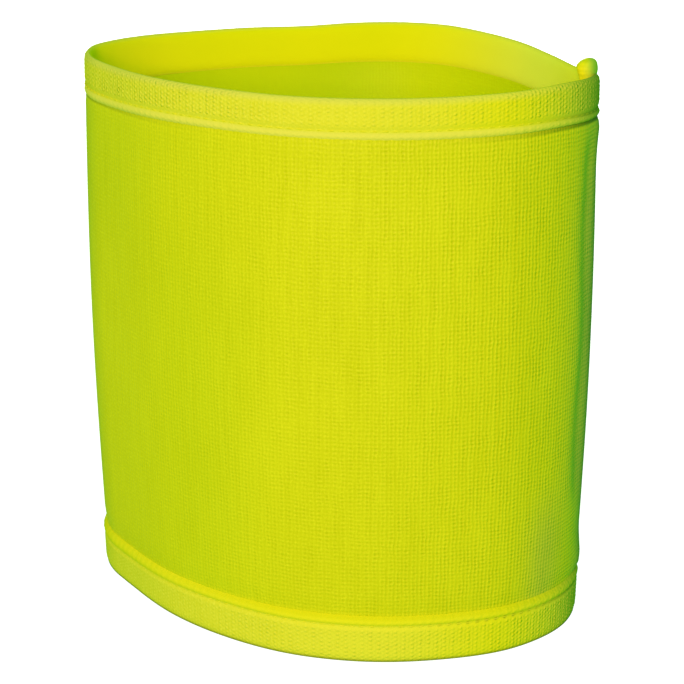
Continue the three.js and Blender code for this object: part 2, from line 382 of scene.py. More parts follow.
def body_knit_finish():
    """Fine plain knit: narrow upright wales crossed by courses, uneven from place to place."""
    finish, tree, shader, place, along, up = new_finish("body_knit", roughness=0.55, gloss=0.08)
    wander = figure(tree, "SUBTRACT", mottle(tree, place, BODY_WANDER), 0.5)
    wandered = figure(tree, "MULTIPLY_ADD", wander, WALE_WANDER, along)
    waved = figure(tree, "MULTIPLY_ADD", wander, COURSE_WANDER, up)
    across = figure(tree, "SINE", figure(tree, "MULTIPLY", wandered, math.pi / WALE_PITCH))
    wales = figure(tree, "COSINE", figure(tree, "MULTIPLY", wandered, 2 * math.pi / WALE_PITCH))
    courses = figure(tree, "COSINE", figure(tree, "MULTIPLY", waved, 2 * math.pi / COURSE_PITCH))
    loops = figure(tree, "MULTIPLY", figure(tree, "MULTIPLY", across, courses), 0.25)

    # Near the seam the courses show more, and the wales less.
    around = around_tube(tree, along)
    near_seam = close_to_seam(tree, around)
    loops = figure(tree, "MULTIPLY_ADD", courses, graded(tree, near_seam, 0.55, 0.95), loops)
    loops = figure(tree, "MULTIPLY_ADD", wales, graded(tree, near_seam, 0.8, 0.3), loops)

    # The loops stand out more in some patches than in others, less at the left fold, and least inside.
    patches = graded(tree, mottle(tree, place, BODY_PATCH, stretch_up=1.6), 0.1, 1.5)
    patches = figure(tree, "MULTIPLY", patches, graded(tree, around, 0.78, 1.2))
    yarn = figure(tree, "SUBTRACT", mottle(tree, place, BODY_YARN, detail=3.0), 0.5)
    loops = figure(tree, "MULTIPLY", figure(tree, "MULTIPLY_ADD", yarn, 2.4, loops), patches)
    reverse = read_tone(tree, "reverse")
    loops = figure(tree, "MULTIPLY", loops, graded(tree, reverse, 1.0, 0.3))

    # Light specks of yarn, tall streaks and wide clouds lie over the loops.
    specks = mottle(tree, place, BODY_SPECK, stretch_up=1.4, detail=1.0)
    specks = figure(tree, "MAXIMUM", figure(tree, "SUBTRACT", specks, 0.52), 0.0)
    streaks = mottle(tree, place, BODY_STREAK, stretch_up=14.0)
    clouds = mottle(tree, place, BODY_CLOUD, stretch_up=2.0)
    share = figure(tree, "MULTIPLY_ADD", loops, LOOP_CONTRAST, BODY_MIDDLE)
    share = figure(tree, "MULTIPLY_ADD", specks, graded(tree, around, 2.4, 1.4), share)
    share = figure(tree, "MULTIPLY_ADD", figure(tree, "SUBTRACT", streaks, 0.5), STREAK_CONTRAST, share)
    share = figure(tree, "MULTIPLY_ADD", figure(tree, "SUBTRACT", clouds, 0.5), CLOUD_CONTRAST, share)
    colour = blend_colours(tree, share, BODY_DARK_LOOP, BODY_LIGHT_LOOP)
    # The inside face takes painted shade: greener and darker.
    colour = blend_colours(tree, reverse, colour, BODY_SHADED_INSIDE)
    colour = tint_where_kept(tree, colour, BODY_TINTS)
    # A thin line of painted shade lies on the body just under the rim's lip.
    above = figure(tree, "MULTIPLY", figure(tree, "SUBTRACT", up, LIP_SHADE_START), 1 / LIP_SHADE_RUN)
    above = figure(tree, "MINIMUM", figure(tree, "MAXIMUM", above, 0.0), 1.0)
    painted_lip_shade = figure(tree, "MULTIPLY", read_tone(tree, "painted_lip_shade"), above)
    colour = blend_colours(tree, painted_lip_shade, colour, BODY_PAINTED_LIP_SHADE)
    tree.links.new(colour, shader.inputs["Base Color"])
    raise_relief(tree, shader, loops, LOOP_RELIEF)
    return finish


body_rows = round((BODY_HEAD - BODY_FOOT) / SLEEVE_ROW_STEP)
sleeve_rows = np.concatenate(
    [
        np.linspace(SLEEVE_FOOT, BODY_FOOT, ROWS_IN_FOOT_HEM)[:-1],
        np.linspace(BODY_FOOT, BODY_HEAD, body_rows),
        np.linspace(BODY_HEAD, SLEEVE_HEAD, ROWS_IN_TOP_HEM)[1:],
    ]
)
sleeve_distance = np.arange(SLEEVE_STEPS_AROUND) * GIRTH / SLEEVE_STEPS_AROUND
section_height = np.concatenate([sleeve_rows, sleeve_rows[::-1]])
section_side = np.where(np.arange(len(section_height)) < len(sleeve_rows), 1, -1)
outer_face, inner_face = section_side > 0, section_side < 0
below_lip = np.minimum(section_height - BODY_FOOT, BODY_HEAD - section_height) + PRESSED_REACH
section_half = PRESSED_HALF + (CLOTH / 2 - PRESSED_HALF) * ease(below_lip, run=PRESSED_RUN)
swell = body_swell(sleeve_distance[:, None], section_height[None, :])
sleeve_out = section_side * section_half + swell
sleeve_places = lay_on_wall(sleeve_distance[:, None], sleeve_out, section_height[None, :])
sleeve = cloth_ring("sleeve_knit", sleeve_distance, sleeve_places, section_height, body_knit_finish())
keep_tone(sleeve, "reverse", np.tile(inner_face, (SLEEVE_STEPS_AROUND, 1)))

# Painted shade gathers under the rim's lip, most at the seam and some at the left fold.
painted_lip_shade = 0.95 * bulge_at(sleeve_distance, place=0, width=30 * MM)
painted_lip_shade = painted_lip_shade + 0.5 * bulge_at(sleeve_distance, place=LEFT_FOLD + 5 * MM, width=36 * MM)
keep_tone(sleeve, "painted_lip_shade", np.outer(painted_lip_shade, outer_face))

# Painted shade makes the knit a little greener in places: low down at the front, high up beside the left
# fold, and inside at the back.
lower = 1 - ease(section_height, start=85 * MM, run=40 * MM)
low_wall_shade = 0.22 * bulge_at(sleeve_distance, place=LEFT_FOLD + 60 * MM, width=22 * MM)
high_wall_shade = 0.13 * bulge_at(sleeve_distance, place=LEFT_FOLD + 20 * MM, width=40 * MM)
inner_wall_shade = 0.3 * bulge_at(sleeve_distance, place=112 * MM, width=18 * MM)
painted_wall_shade = np.outer(low_wall_shade, 0.2 + 0.8 * lower) + np.outer(high_wall_shade, 1 - lower)
keep_tone(sleeve, "painted_wall_shade", painted_wall_shade * outer_face + np.outer(inner_wall_shade, inner_face))

# Painted shade makes the corner beside the seam greener, less so near both hems, and above the foot in two
# narrow strips.
near_foot = 1 - ease(section_height, start=25 * MM, run=25 * MM)
near_rim = ease(section_height, start=112 * MM, run=25 * MM)
seam_corner_shade = 0.97 * painted_shade_at_seam(sleeve_distance, width=11.3 * MM)
far_shade_strip = 0.35 * bulge_at(sleeve_distance, place=-22 * MM, width=6 * MM)
near_shade_strip = 0.65 * bulge_at(sleeve_distance, place=-2 * MM, width=5 * MM)
corner = np.outer(seam_corner_shade, 1 - 0.85 * near_foot - 0.45 * near_rim)
corner = corner + np.outer(far_shade_strip, near_foot) + np.outer(near_shade_strip, near_foot)
keep_tone(sleeve, "corner", np.minimum(corner, 1) * outer_face)
# A thin dark line of painted shade lies along the seam.
painted_seam_shade = 0.5 * bulge_at(sleeve_distance, place=-2.4 * MM, width=1.9 * MM)
keep_tone(sleeve, "painted_seam_shade", np.outer(painted_seam_shade, outer_face))
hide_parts("sleeve")


# Turned hems
# At the rim and at the foot the edge of the knit is turned over into a double band of coarser knit.
# It is stitched through beside a proud soft lip, and the foot's hem is the taller of the two.

CHANNEL_HALF = 0.45 * MM
BEAD_ALONG = 2.12 * MM
BEAD_UP = 1.12 * MM
BEAD_RELIEF = 0.085 * MM
STEPS_PER_BEAD = 6
OUTER_ROW_STEP = 0.28 * MM
INNER_ROW_STEP = 0.7 * MM
SOFTENING_ROUNDS = 3
OUTSIDE_RUN = 0.6 * MM
STITCH_PITCH = 2.55 * MM
LIP_STRAND_RELIEF = 0.015 * MM
LIP_STRAND_UP = 2.4 * MM
LIP_PUCKER = 0.03 * MM

# Both hems share one form. The depths from the hem's own edge, the pitch, the reach and the shifts are in
# millimetres. The rest are strengths, with 1 for the full tint or texture.
TOP_HEM = {
    "groove": 7.8,
    "lip": 9.4,
    "lip_end": 10.2,
    "lip_blend": 0.4,
    "course_pitch": 1.03,
    "inside_end": 11.9,
    "land": 0.0,
    "lip_painted_sheen": 0.75,
    "rim_edge_shade": 0.75,
    "lip_yellow": 0.0,
    "lip_keeps": 0.0,
    "fades_to_body": 0.0,
    "painted_light_at_front": 0.4,
    "corner_painted_shade": 1.0,
    "corner_shade_reach": 17.0,
    "crevice_shade": 1.0,
    "groove_shade": 0.75,
    "stitch_shade": 0.0,
    "under_edge_shade": 0.0,
    "out_at_left": -0.3,
    "lift_at_left": 0.0,
    "wider_at_left": 0.8,
    "wider_at_seam": 0.8,
    "sink_at_back": 0.25,
    "texture_front": 0.75,
    "texture_left": 1.35,
    "flat_at_front": 0.4,
}
BOTTOM_HEM = {
    "groove": 10.4,
    "lip": 11.8,
    "lip_end": 12.6,
    "lip_blend": 0.8,
    "course_pitch": 1.2,
    "inside_end": 13.8,
    "land": 0.8,
    "lip_painted_sheen": 0.0,
    "rim_edge_shade": 0.0,
    "lip_yellow": 0.65,
    "lip_keeps": 0.8,
    "fades_to_body": 0.6,
    "painted_light_at_front": 0.75,
    "corner_painted_shade": 0.8,
    "corner_shade_reach": 16.0,
    "crevice_shade": 0.0,
    "groove_shade": 0.7,
    "stitch_shade": 0.8,
    "under_edge_shade": 0.7,
    "out_at_left": 0.1,
    "lift_at_left": 1.0,
    "wider_at_left": -0.8,
    "wider_at_seam": -0.4,
    "sink_at_back": 0.0,
    "texture_front": 0.9,
    "texture_left": 0.5,
    "flat_at_front": 0.0,
}


def soft_line(corners, step):
    """A line through the corners in even steps, with its corners softened."""
    corners = np.array(corners, dtype=float)
    run = np.concatenate([[0], np.cumsum(np.linalg.norm(np.diff(corners, axis=0), axis=1))])
    even = np.linspace(0, run[-1], round(run[-1] / step) + 1)
    line = np.stack([np.interp(even, run, corners[:, i]) for i in (0, 1)], axis=-1)
    for _ in range(SOFTENING_ROUNDS):
        line[1:-1] = 0.25 * line[:-2] + 0.5 * line[1:-1] + 0.25 * line[2:]
    return line


def hem_section(hem):
    """Outward reach and depth from the hem's edge, in metres: the seen skin from lip to inside lip."""
    groove, lip, lip_end, blend = hem["groove"], hem["lip"], hem["lip_end"], hem["lip_blend"]
    inside_end, land = hem["inside_end"], hem["land"]
    outer_skin = [
        (0.7, lip_end + blend), (1.05, lip_end + 0.6 * blend), (1.7, lip_end - 0.3), (1.95, lip),
        (1.85, groove + 0.7), (1.3, groove + 0.05), (1.55, groove - 0.6), (1.7, groove - 1.1),
        (1.65, groove * 0.6), (1.6, 2.4), (1.5, 1.2), (1.15, 0.4), (0.45 + land, 0.0),
    ]
    inner_skin = [
        (0.45 - land, 0.0), (-0.25, 0.35), (-0.6, 1.1), (-0.75, 2.4), (-0.75, inside_end - 3.2),
        (-0.7, inside_end - 2.0), (-0.45, inside_end - 1.0), (0.0, inside_end - 0.3),
        (0.45, inside_end + 0.2),
    ]
    outside = soft_line(np.array(outer_skin) * MM, OUTER_ROW_STEP)
    inside = soft_line(np.array(inner_skin) * MM, INNER_ROW_STEP)
    return np.vstack([outside, inside[1 if land == 0 else 0:]])


def hem_depth(distance, depth, hem):
    """A depth moved to where it really lies: the band is wider or narrower near the left fold and near
    the seam, and its edge lifts or sinks a little in places."""
    share = np.clip(depth / (hem["groove"] * MM), 0, 1)
    past_groove = (depth - hem["groove"] * MM) / ((hem["lip_end"] - hem["groove"]) * MM)
    at_seam = bulge_at(distance, place=-10 * MM, width=20 * MM) * (1 - 0.5 * ease(past_groove))
    wider = hem["wider_at_left"] * bulge_at(distance, place=LEFT_FOLD + 14 * MM, width=30 * MM)
    wider = wider * (1 - hem["lip_keeps"] * ease(past_groove))
    wider = (wider + hem["wider_at_seam"] * at_seam) * MM
    lift = hem["lift_at_left"] * MM * bulge_at(distance, place=LEFT_FOLD + 26 * MM, width=32 * MM)
    sink = hem["sink_at_back"] * MM * bulge_at(distance, place=BACK_MIDDLE, width=55 * MM)
    sink = sink + 0.8 * hem["sink_at_back"] * MM * bulge_at(distance, place=34 * MM, width=16 * MM)
    return depth + wider * share + lift * (1 - share) + sink


def on_lip_skin(reach, depth, hem):
    """1 on the outer face of the lip, and 0 on the band and inside."""
    past_groove = depth - hem["groove"] * MM
    return ease(reach, start=FACE_SHIFT, run=0.7 * MM) * ease(past_groove, start=0.3 * MM, run=0.6 * MM)


def bead_texture(distance, reach, depth, hem):
    """How strongly the beads stand at each point of the hem: most on the band's outer face."""
    before_groove = hem["groove"] * MM - 0.6 * MM - depth
    band = ease(reach, start=FACE_SHIFT, run=0.7 * MM) * ease(before_groove, run=0.8 * MM)
    front = hump(distance - FRONT_MIDDLE, width=50 * MM)
    left = hump(np.minimum(distance - LEFT_FOLD - 20 * MM, 0), width=60 * MM)
    left = left * ease(FRONT_MIDDLE - 12 * MM - distance, run=25 * MM)
    strength = 1 + (hem["texture_front"] - 1) * front
    strength = strength * (1 + (hem["texture_left"] - 1) * left)
    strength = strength * (1 + 0.6 * bulge_at(distance, place=-15 * MM, width=20 * MM))
    return strength * (band + 0.3 * on_lip_skin(reach, depth, hem))


def hem_relief(distance, running, reach, depth, hem):
    """Relief of the hem's knit: beads in upright columns on the band, and slanted strands on the lip."""
    column = 0.5 + 0.5 * np.cos(2 * np.pi * distance / BEAD_ALONG)
    between = 0.5 - 0.5 * np.cos(2 * np.pi * distance / BEAD_ALONG)
    course = 0.5 + 0.5 * np.cos(2 * np.pi * running / (hem["course_pitch"] * MM))
    edge = ease(depth, start=0.1 * MM, run=0.8 * MM)
    beads = column**2 * (0.3 + 0.7 * course) + 0.12 * between**3 * (1 - course) - 0.3
    beads = BEAD_RELIEF * beads * edge * bead_texture(distance, reach, depth, hem)
    strands = LIP_STRAND_RELIEF * np.cos(2 * np.pi * (distance / BEAD_ALONG + running / LIP_STRAND_UP))
    pucker = LIP_PUCKER * np.cos(2 * np.pi * distance / STITCH_PITCH)
    return beads + on_lip_skin(reach, depth, hem) * (strands + pucker)


# Sizes of the uneven places in the hems' knit, how far each moves its colour between dark and light, and
# the colours: two for the beads, and one for each kept tone.
HEM_FLECK = 0.42 * MM
HEM_FIBRE = 0.65 * MM
HEM_STREAK = 1.6 * MM
HEM_PATCH = 5 * MM
HEM_CLOUD = 14 * MM
FINE_BEAD_RELIEF = 0.05 * MM

HEM_MIDDLE = 0.43
BEAD_CONTRAST = 0.27
FLECK_CONTRAST = 3.5
HEM_CLOUD_CONTRAST = 0.4
HEM_STREAK_CONTRAST = 0.5
# The dark bead colour is partly the knit's own and partly painted shade in the gaps between the beads.
HEM_DARK_BEAD = (0.80, 0.67, 0.012)
HEM_LIGHT_BEAD = (0.97, 0.79, 0.046)
HEM_TINTS = {
    # Painted light on the hem at the front.
    "painted_front_light": (0.99, 0.79, 0.036),
    "yellow": (0.96, 0.775, 0.001),
    "fading": (0.80, 0.69, 0.004),
    # A pale painted sheen on the lip.
    "painted_sheen": (0.94, 0.755, 0.09),
    # Painted shade on the rim's edge, pale with a painted sheen.
    "painted_edge_shade": (0.83, 0.71, 0.085),
    # Painted shade in the corner beside the seam.
    "corner": (0.335, 0.41, 0.04),
    # Painted shade in the groove, its stitch holes, the crevice past the lip and under the edge.
    "shade": (0.13, 0.18, 0.008),
}
HEM_INSIDE = (0.905, 0.805, 0.003)
# The inside tints are painted light near the seam and beside the left fold, and painted shade at the back.
HEM_INSIDE_TINTS = {
    "inner_painted_light": (1.0, 0.92, 0.07),
    "inner_painted_warm_light": (1.0, 0.81, 0.006),
    "inner_shade": (0.60, 0.66, 0.001),
}


def hem_knit_finish():
    """Coarser knit: upright columns of beads, with smaller beads set between them half a course away."""
    finish, tree, shader, place, along, up = new_finish("hem_knit", roughness=0.55, gloss=0.0)
    columns = figure(tree, "COSINE", figure(tree, "MULTIPLY", along, 2 * math.pi / BEAD_ALONG))
    courses = figure(tree, "COSINE", figure(tree, "MULTIPLY", up, 2 * math.pi / BEAD_UP))
    face = figure(tree, "POWER", figure(tree, "MULTIPLY_ADD", columns, 0.5, 0.5), 2.5)
    dip = figure(tree, "POWER", figure(tree, "MULTIPLY_ADD", columns, -0.5, 0.5), 2.5)
    main = figure(tree, "MULTIPLY", face, figure(tree, "MULTIPLY_ADD", courses, 1.4, 2.0))
    between = figure(tree, "MULTIPLY", dip, figure(tree, "MULTIPLY_ADD", courses, -0.7, 1.9))
    beads = figure(tree, "ADD", between, main)
    fibres = figure(tree, "SUBTRACT", mottle(tree, place, HEM_FIBRE, stretch_up=1.2, detail=3.0), 0.5)
    streaks = figure(tree, "SUBTRACT", mottle(tree, place, HEM_STREAK, stretch_up=3.0), 0.5)
    patches = graded(tree, mottle(tree, place, HEM_PATCH), 0.1, 1.9)
    relief = figure(tree, "MULTIPLY_ADD", fibres, 5.0, figure(tree, "SUBTRACT", beads, 1.05))
    relief = figure(tree, "MULTIPLY", relief, figure(tree, "MULTIPLY", read_tone(tree, "texture"), patches))
    flecks = mottle(tree, place, HEM_FLECK, stretch_up=2.2, detail=1.0)
    flecks = figure(tree, "MAXIMUM", figure(tree, "SUBTRACT", flecks, 0.53), 0.0)
    clouds = figure(tree, "SUBTRACT", mottle(tree, place, HEM_CLOUD), 0.5)
    share = figure(tree, "MULTIPLY_ADD", relief, BEAD_CONTRAST, HEM_MIDDLE)
    share = figure(tree, "MULTIPLY_ADD", flecks, FLECK_CONTRAST, share)
    share = figure(tree, "MULTIPLY_ADD", clouds, HEM_CLOUD_CONTRAST, share)
    share = figure(tree, "MULTIPLY_ADD", streaks, HEM_STREAK_CONTRAST, share)
    colour = blend_colours(tree, share, HEM_DARK_BEAD, HEM_LIGHT_BEAD)
    colour = tint_where_kept(tree, colour, HEM_TINTS)
    inner_colour = tint_where_kept(tree, HEM_INSIDE, HEM_INSIDE_TINTS)
    colour = blend_colours(tree, read_tone(tree, "inner"), colour, inner_colour)
    tree.links.new(colour, shader.inputs["Base Color"])
    raise_relief(tree, shader, relief, FINE_BEAD_RELIEF)
    return finish


# The hem closes round the sleeve's edge in a narrow channel, made of two more rows that never show.
CHANNEL_DEPTH = 0.9 * MM
CHANNEL_RUN = np.array([6 * MM, 8 * MM])
HIDDEN_ROWS = len(CHANNEL_RUN)


def with_channel(values, hidden=0):
    """The skin's values, and after them one more for each hidden row of the channel."""
    return np.concatenate([values, np.full((*values.shape[:-1], HIDDEN_ROWS), hidden)], axis=-1)


def hem_tones(distance, skin, hem):
    """How strongly each tint of the finish shows at each point of the hem, by the tone's name."""
    reach, depth = skin[:, 0], skin[:, 1]
    along = distance[:, None]
    outside = ease(reach, run=OUTSIDE_RUN)
    past_groove = depth - hem["groove"] * MM
    past_lip = (depth - hem["lip"] * MM) / ((hem["lip_end"] - hem["lip"]) * MM)

    # The lip has a pale painted sheen or stays yellow, and the edge has painted shade. Sheen and shade give
    # way near the seam.
    on_lip = ease(past_groove, run=0.7 * MM) * ease(reach, run=1.0 * MM)
    on_edge = hem["rim_edge_shade"] * ease(2.2 * MM - depth, run=1.8 * MM)
    painted_sheen = with_channel(hem["lip_painted_sheen"] * on_lip)
    painted_sheen = painted_sheen * (1 - 0.8 * bulge_at(along, place=0, width=30 * MM))
    painted_edge_shade = with_channel(on_edge) * (1 - 0.9 * bulge_at(along, place=0, width=34 * MM))
    yellow_patch = 0.75 * bulge_at(along, place=-37 * MM, width=19 * MM)
    yellow = np.maximum(with_channel(hem["lip_yellow"] * on_lip), yellow_patch)
    fading = with_channel(hem["fades_to_body"] * outside * ease(past_lip))
    fading = fading * (1 - 0.9 * bulge_at(along, place=LEFT_FOLD + 34 * MM, width=30 * MM))

    # Painted shade lies in the groove and its stitch holes, under the hem's edge, and in the crevice past
    # the lip.
    in_groove = outside * hump(past_groove, width=0.4 * MM)
    holes = ease(np.cos(2 * np.pi * along / STITCH_PITCH)) * bulge_at(along, place=-36 * MM, width=18 * MM)
    at_seam = bulge_at(along, place=0, width=20 * MM)
    groove_shade = hem["stitch_shade"] * holes + hem["groove_shade"] * at_seam
    under_edge = hem["under_edge_shade"] * outside * ease(1.0 * MM - depth, run=0.8 * MM)
    crevice = hem["crevice_shade"] * outside * ease(past_lip, start=0.2)
    crevice = crevice * bulge_at(along, place=0, width=27 * MM)
    shade = np.maximum(crevice, np.maximum(in_groove * groove_shade, under_edge))

    return {
        "painted_sheen": painted_sheen,
        "texture": with_channel(bead_texture(along, reach, depth, hem)),
        "shade": with_channel(shade),
        "inner": with_channel(ease(FACE_SHIFT - reach, run=0.8 * MM), hidden=1),
        "painted_edge_shade": painted_edge_shade,
        "fading": fading,
        # The corner beside the seam takes painted shade.
        "corner": hem["corner_painted_shade"] * painted_shade_at_seam(along, hem["corner_shade_reach"] * MM),
        # Painted light on the front of the hem.
        "painted_front_light": hem["painted_light_at_front"] * bulge_at(along, place=FRONT_MIDDLE + 14 * MM, width=32 * MM),
        "yellow": yellow,
        # Inside, painted light near the seam and beside the left fold, and painted shade at the back.
        "inner_painted_light": 0.95 * bulge_at(along, place=36 * MM, width=28 * MM),
        "inner_painted_warm_light": bulge_at(along, place=LEFT_FOLD - 10 * MM, width=20 * MM),
        "inner_shade": 0.22 * bulge_at(along, place=101 * MM, width=14 * MM),
    }


def turned_hem(name, node, hem, from_rim, finish):
    """One hem as a closed ring: its skin, and the channel that holds the sleeve's edge."""
    bead_count = round(GIRTH / BEAD_ALONG)
    steps = bead_count * STEPS_PER_BEAD
    distance = np.arange(steps) * GIRTH / steps
    bead_distance = distance * BEAD_ALONG * bead_count / GIRTH
    skin = hem_section(hem)
    slope = np.gradient(skin, axis=0)
    slope /= np.linalg.norm(slope, axis=1)[:, None]
    facing = np.stack([slope[:, 1], -slope[:, 0]], axis=-1)
    if facing[len(skin) // 4, 0] < 0:
        facing = -facing
    running = np.concatenate([[0], np.cumsum(np.linalg.norm(np.diff(skin, axis=0), axis=1))])
    relief = hem_relief(bead_distance[:, None], running, skin[:, 0], skin[:, 1], hem)
    out = skin[:, 0] + relief * facing[:, 0]
    depth = np.maximum(skin[:, 1] + relief * facing[:, 1], 0)

    # At the front the lip may lie flatter than elsewhere.
    on_lip = ease(skin[:, 1], start=hem["groove"] * MM, run=0.9 * MM) * ease(skin[:, 0], run=OUTSIDE_RUN)
    out = out - hem["flat_at_front"] * MM * bulge_at(distance, FRONT_MIDDLE, FRONT_WIDTH)[:, None] * on_lip

    channel_out = np.tile([FACE_SHIFT - CHANNEL_HALF, FACE_SHIFT + CHANNEL_HALF], (steps, 1))
    out = np.hstack([out, channel_out])
    depth = hem_depth(distance[:, None], with_channel(depth, CHANNEL_DEPTH), hem)
    running = np.concatenate([running, running[-1] + CHANNEL_RUN])
    out = out + hem["out_at_left"] * MM * bulge_at(distance, place=LEFT_FOLD, width=28 * MM)[:, None]
    if from_rim:
        height = RIM_HEIGHT - depth
    else:
        out, height, running = out[:, ::-1], depth[:, ::-1], running[::-1]
    places = lay_on_wall(distance[:, None], out, height)
    piece = cloth_ring(name, bead_distance, places, running * BEAD_UP / (hem["course_pitch"] * MM), finish)
    for tone, values in hem_tones(distance, skin, hem).items():
        values = np.broadcast_to(values, out.shape)
        keep_tone(piece, tone, values if from_rim else values[:, ::-1])
    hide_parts(node)
    return piece


hem_knit = hem_knit_finish()
top_hem = turned_hem("rim_hem", "top_hem", TOP_HEM, True, hem_knit)
bottom_hem = turned_hem("foot_hem", "bottom_hem", BOTTOM_HEM, False, hem_knit)


# Hem stitches
# A row of lock stitches holds each turned hem, in a matching spun thread about 0.35 mm thick.
# Each stitch lies in the outer groove beside the lip and dips into the cloth at both ends.

THREAD_HALF = 0.17 * MM
THREAD_SIDES = 8
THREAD_TWIST = 0.35 * MM
THREAD_RELIEF = 0.03 * MM
THREAD_SIDE_RUN = 0.1 * MM
STITCH_RINGS = 9
STITCH_SHARE = 0.94
STITCH_RISE = 0.22 * MM
STITCH_REACH = 1.2 * MM

THREAD_DARK = (0.80, 0.68, 0.004)
THREAD_LIGHT = (0.93, 0.79, 0.02)
THREAD_PAINTED_SHADE = (0.28, 0.37, 0.01)


def thread_finish():
    """Spun thread: a slanted twist, and greener with painted shade beside the side seam."""
    finish, tree, shader, _, along, up = new_finish("sewing_thread", roughness=0.6, gloss=0.15)
    slant = figure(tree, "MULTIPLY", figure(tree, "ADD", along, up), 2 * math.pi / THREAD_TWIST)
    twist = figure(tree, "SINE", slant)
    share = figure(tree, "MULTIPLY_ADD", twist, 0.5, 0.5)
    colour = blend_colours(tree, share, THREAD_DARK, THREAD_LIGHT)
    colour = blend_colours(tree, close_to_seam(tree, around_tube(tree, along)), colour, THREAD_PAINTED_SHADE)
    tree.links.new(colour, shader.inputs["Base Color"])
    raise_relief(tree, shader, twist, THREAD_RELIEF)
    return finish


def stitch_row(name, hem, from_rim, finish):
    """Short round threads end to end along the groove, as one piece."""
    count = round(GIRTH / STITCH_PITCH)
    pitch = GIRTH / count
    t = np.linspace(0, 1, STITCH_RINGS)
    dip = np.sin(np.pi * t)
    thick = THREAD_HALF * np.sqrt(np.clip(1 - (2 * t - 1) ** 6, 0.0004, 1))
    angle = 2 * np.pi * np.arange(THREAD_SIDES) / THREAD_SIDES
    vertices, faces, uv = [], [], []
    for stitch in range(count):
        distance = (stitch + 0.5) * pitch + (t - 0.5) * pitch * STITCH_SHARE
        away = (STITCH_REACH + STITCH_RISE * dip)[:, None] + thick[:, None] * np.cos(angle)[None, :]
        depth = hem_depth(distance, hem["groove"] * MM, hem)[:, None]
        depth = depth + thick[:, None] * np.sin(angle)[None, :]
        height = RIM_HEIGHT - depth if from_rim else depth
        rings = lay_on_wall(distance[:, None], away, height)
        first = len(vertices)
        vertices.extend(map(tuple, rings.reshape(-1, 3)))
        for ring in range(STITCH_RINGS - 1):
            for k in range(THREAD_SIDES):
                a = first + ring * THREAD_SIDES + k
                b = first + ring * THREAD_SIDES + (k + 1) % THREAD_SIDES
                face = (a, b, b + THREAD_SIDES, a + THREAD_SIDES)
                faces.append(face if from_rim else face[::-1])
                uv.extend([(distance[ring], THREAD_SIDE_RUN * k)] * 4)
        start = list(range(first, first + THREAD_SIDES))
        end = [corner + (STITCH_RINGS - 1) * THREAD_SIDES for corner in start]
        faces.append(start[::-1] if from_rim else start)
        faces.append(end if from_rim else end[::-1])
        uv.extend([(distance[0], 0)] * THREAD_SIDES * 2)
    mesh = bpy.data.meshes.new(name)
    mesh.from_pydata(vertices, [], faces)
    mesh.uv_layers.new(name="knit").uv.foreach_set("vector", np.array(uv).reshape(-1))
    piece = smooth_piece(name, mesh, finish)
    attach(piece, "root")
    return piece


thread = thread_finish()
rim_stitches = stitch_row("rim_hem_stitches", TOP_HEM, True, thread)
foot_stitches = stitch_row("foot_hem_stitches", BOTTOM_HEM, False, thread)


# Side seam
# Inside the corner the two edges of the knit are folded back and sewn together as a flat rib.
# At the rim the folded edges are rolled up into a smooth rounded end that stands above the hem.

# The rib's form from foot to tip, in millimetres: how high, how far out from the wall its middle lies,
# its half widths across and along the wall, and how far it is turned, in degrees.
SEAM_ROWS = [
    {"height": 0.8, "middle": -3.8, "across": 0.2, "along": 0.1, "turn": 0},
    {"height": 1.0, "middle": -3.8, "across": 0.8, "along": 0.8, "turn": 0},
    {"height": 1.8, "middle": -3.85, "across": 1.15, "along": 1.3, "turn": 0},
    {"height": 17.2, "middle": -3.85, "across": 1.15, "along": 1.3, "turn": 0},
    {"height": 20.6, "middle": -3.0, "across": 1.6, "along": 1.0, "turn": 0},
    {"height": 75.0, "middle": -2.9, "across": 1.7, "along": 1.0, "turn": 0},
    {"height": 134.5, "middle": -3.0, "across": 1.6, "along": 1.0, "turn": 0},
    {"height": 138.0, "middle": -3.85, "across": 1.15, "along": 1.3, "turn": 0},
    {"height": 146.0, "middle": -3.8, "across": 1.2, "along": 1.5, "turn": -8},
    {"height": 148.8, "middle": -1.6, "across": 1.85, "along": 2.7, "turn": -20},
    {"height": 150.4, "middle": -1.6, "across": 2.35, "along": 3.6, "turn": -20},
    {"height": 151.9, "middle": -1.85, "across": 2.5, "along": 3.65, "turn": -20},
    {"height": 152.8, "middle": -1.7, "across": 2.1, "along": 3.1, "turn": -20},
    {"height": 153.4, "middle": -1.5, "across": 1.5, "along": 2.2, "turn": -20},
    {"height": 153.75, "middle": -1.45, "across": 0.7, "along": 1.0, "turn": -20},
    {"height": 153.8, "middle": -1.4, "across": 0.1, "along": 0.1, "turn": -20},
]

# The rib is SEAM_SIDES faces round, and its finish counts each of them as SEAM_SIDE_RUN of cloth.
SEAM_SIDES = 32
SEAM_SIDE_RUN = 0.5 * MM
SEAM_STEP = 0.3 * MM
SEAM_SQUARENESS = 2.6
SEAM_SOFTENING_ROUNDS = 4
SEAM_FIBRE = 0.8 * MM
SEAM_RELIEF = 0.05 * MM

SEAM_DARK = (0.84, 0.715, 0.002)
SEAM_LIGHT = (1.0, 0.83, 0.006)
SEAM_PAINTED_SHADE = (0.54, 0.65, 0.04)


